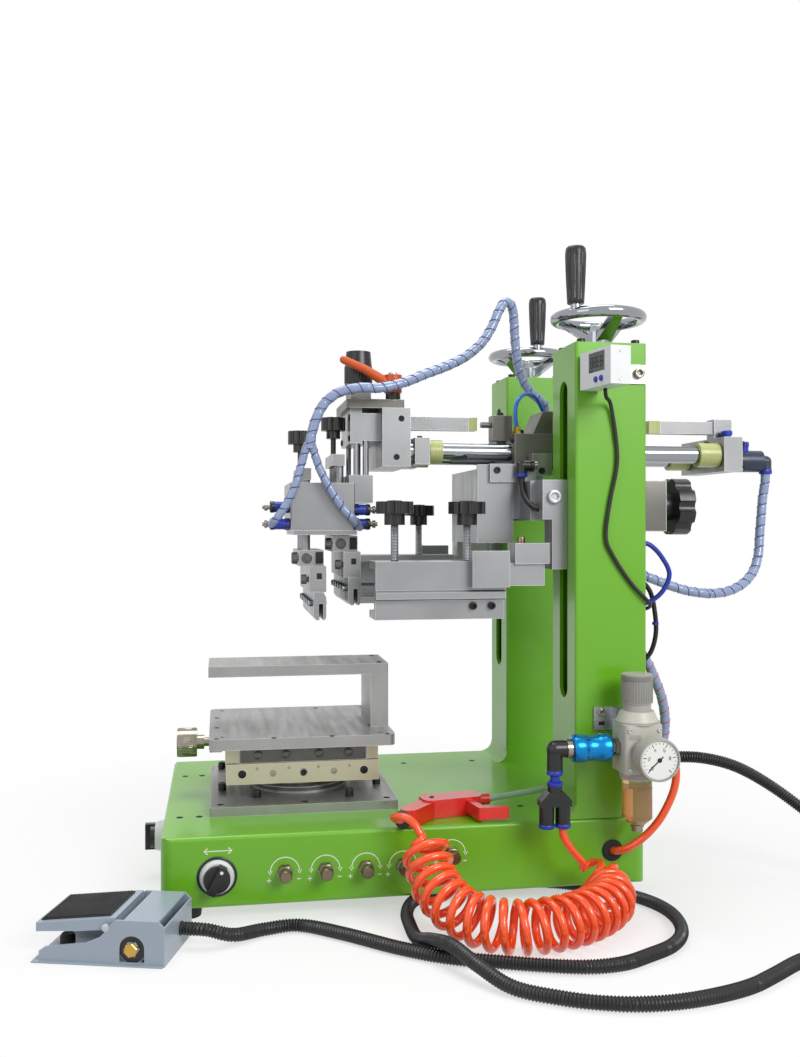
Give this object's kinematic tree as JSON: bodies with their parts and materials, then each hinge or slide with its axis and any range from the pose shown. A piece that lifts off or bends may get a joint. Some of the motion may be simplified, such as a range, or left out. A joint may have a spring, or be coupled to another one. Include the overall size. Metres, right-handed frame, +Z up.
{
  "type": "screen printing machine",
  "caption": "Bench-top pneumatic screen printing machine with a lifting and stroking print head, a turning work table, an air gun and a foot pedal.",
  "frame": {"origin": "on the bench, under the middle of the machine with its foot pedal and without its loose hoses", "axes": "+X along the base towards the columns, +Y from the control panel to the back, +Z up"},
  "size_m": [0.8495, 0.6159, 0.682],
  "materials": {
    "green_paint": "semi-gloss lime paint",
    "rubber": "matt",
    "white_plastic": "satin",
    "black_plastic": "satin moulded",
    "nickel": "bright nickel",
    "sheet_steel": "zinc-plated",
    "black_cable": "matt jacket",
    "regulator_grey": "die-cast, painted",
    "knob_grey": "moulded, ribbed",
    "amber_clear": "clear amber plastic",
    "gauge": "chrome rim and white dial",
    "blue_anodised": "blue anodised",
    "orange_hose": "glossy polyurethane",
    "red_plastic": "glossy",
    "pedal_grey": "hammered grey paint",
    "aluminium": "machined, satin anodised",
    "cream_metal": "yellowish chromate",
    "chrome": "polished",
    "urethane": "translucent",
    "dark_blue": "satin",
    "orange_lever": "satin",
    "blue_fittings": "push-in collars",
    "hose_wrap": "spiral wrap",
    "threaded_steel": "oiled"
  },
  "bodies": {
    "base": {"base_housing": "green_paint", "rubber_feet": "rubber", "near_column": "green_paint", "far_column": "green_paint", "switch_bezels": "white_plastic", "needle_valves": "nickel", "position_readout": "white_plastic", "readout_cable": "black_cable", "steel_brackets": "sheet_steel", "regulator_body": "regulator_grey", "regulator_knob": "knob_grey", "regulator_bowl": "amber_clear", "pressure_gauge": "gauge", "hand_valve": "blue_anodised", "air_branch": "black_plastic", "regulator_hose": "orange_hose", "gun_hose": "orange_hose", "air_gun": "red_plastic", "column_fittings": "black_plastic", "pedal_conduit": "black_cable", "pedal_frame": "pedal_grey", "table_plate": "aluminium", "column_hose": "hose_wrap"},
    "front_switch": {"front_selector": "black_plastic"},
    "end_switch": {"end_selector": "black_plastic"},
    "pedal": {"pedal_treadle": "pedal_grey"},
    "turntable": {"turntable": "cream_metal"},
    "table": {"table_top": "aluminium", "work_holder": "aluminium"},
    "table_screw": {"table_knob": "nickel"},
    "near_wheel": {"near_handwheel": "chrome", "near_grip": "black_plastic", "near_lift_screw": "threaded_steel"},
    "far_wheel": {"far_handwheel": "chrome", "far_grip": "black_plastic", "far_lift_screw": "threaded_steel"},
    "lift": {"near_carriage": "aluminium", "far_carriage": "aluminium", "lift_beam": "aluminium", "bearing_housing": "aluminium", "clamp_arms": "aluminium", "frame_knobs": "black_plastic", "cylinder_hose": "hose_wrap"},
    "lock": {"lock_knob": "black_plastic"},
    "shuttle": {"stroke_rods": "chrome", "rod_collars": "urethane", "rod_end_block": "aluminium", "stroke_cylinder": "dark_blue", "head_clamp": "aluminium", "head_plate": "aluminium", "height_knob": "black_plastic", "height_slide": "aluminium", "cylinder_block": "aluminium", "cylinder_fittings": "blue_fittings", "head_hose": "hose_wrap"},
    "lever": {"clamp_lever": "orange_lever"},
    "left_squeegee": {"left_squeegee": "aluminium", "left_squeegee_knob": "black_plastic"},
    "right_squeegee": {"right_squeegee": "aluminium", "right_squeegee_knob": "black_plastic"}
  },
  "joints": [
    {"name": "near_handwheel_turn", "type": "hinge", "parent": "base", "child": "near_wheel", "pos_m": [0.15659, -0.08971, 0.613], "axis": [0, 0, 1], "range_deg": [-6481, 3241]},
    {"name": "far_handwheel_turn", "type": "hinge", "parent": "base", "child": "far_wheel", "pos_m": [0.15659, 0.17729, 0.613], "axis": [0, 0, 1], "range_deg": [-6481, 3241]},
    {"name": "head_lift", "type": "slide", "parent": "base", "child": "lift", "axis": [0, 0, 1], "range_m": [-0.045, 0.09], "deforming": ["cylinder_hose"]},
    {"name": "lock_knob_turn", "type": "hinge", "parent": "lift", "child": "lock", "pos_m": [0.22859, -0.08971, 0.41], "axis": [1, 0, 0], "range_deg": [-90, 0]},
    {"name": "stroke", "type": "slide", "parent": "lift", "child": "shuttle", "axis": [1, 0, 0], "range_m": [-0.088, 0], "deforming": ["head_hose", "cylinder_hose"]},
    {"name": "clamp_lever_turn", "type": "hinge", "parent": "shuttle", "child": "lever", "pos_m": [-0.05441, -0.00421, 0.545], "axis": [0, 0, 1], "range_deg": [0, 90]},
    {"name": "left_squeegee_slide", "type": "slide", "parent": "shuttle", "child": "left_squeegee", "axis": [0, 0, 1], "range_m": [0, 0.016]},
    {"name": "right_squeegee_slide", "type": "slide", "parent": "shuttle", "child": "right_squeegee", "axis": [0, 0, 1], "range_m": [-0.016, 0]},
    {"name": "table_turn", "type": "hinge", "parent": "base", "child": "turntable", "pos_m": [-0.15741, 0.04129, 0.1], "axis": [0, 0, 1], "range_deg": [-10, 10]},
    {"name": "table_slide", "type": "slide", "parent": "turntable", "child": "table", "axis": [1, 0, 0], "range_m": [-0.008, 0.008]},
    {"name": "table_knob_turn", "type": "hinge", "parent": "table", "child": "table_screw", "pos_m": [-0.27441, 0.04129, 0.1435], "axis": [1, 0, 0], "range_deg": [-2881, 2881]},
    {"name": "front_selector_turn", "type": "hinge", "parent": "base", "child": "front_switch", "pos_m": [-0.24981, -0.13871, 0.045], "axis": [0, 1, 0], "range_deg": [-54, 0]},
    {"name": "end_selector_turn", "type": "hinge", "parent": "base", "child": "end_switch", "pos_m": [-0.31841, 0.02129, 0.045], "axis": [1, 0, 0], "range_deg": [0, 54]},
    {"name": "pedal_press", "type": "hinge", "parent": "base", "child": "pedal", "pos_m": [-0.33622, -0.17641, 0.033], "axis": [0.2756, 0.9613, 0], "range_deg": [-8, 0], "stiffness_Nm_per_rad": 3, "springref_deg": 5.73}
  ],
  "couplings": [
    {"joint": "near_handwheel_turn", "follows": "head_lift", "rad_per_m": -1256.6},
    {"joint": "far_handwheel_turn", "follows": "head_lift", "rad_per_m": -1256.6},
    {"joint": "table_knob_turn", "follows": "table_slide", "rad_per_m": 6283.2}
  ]
}
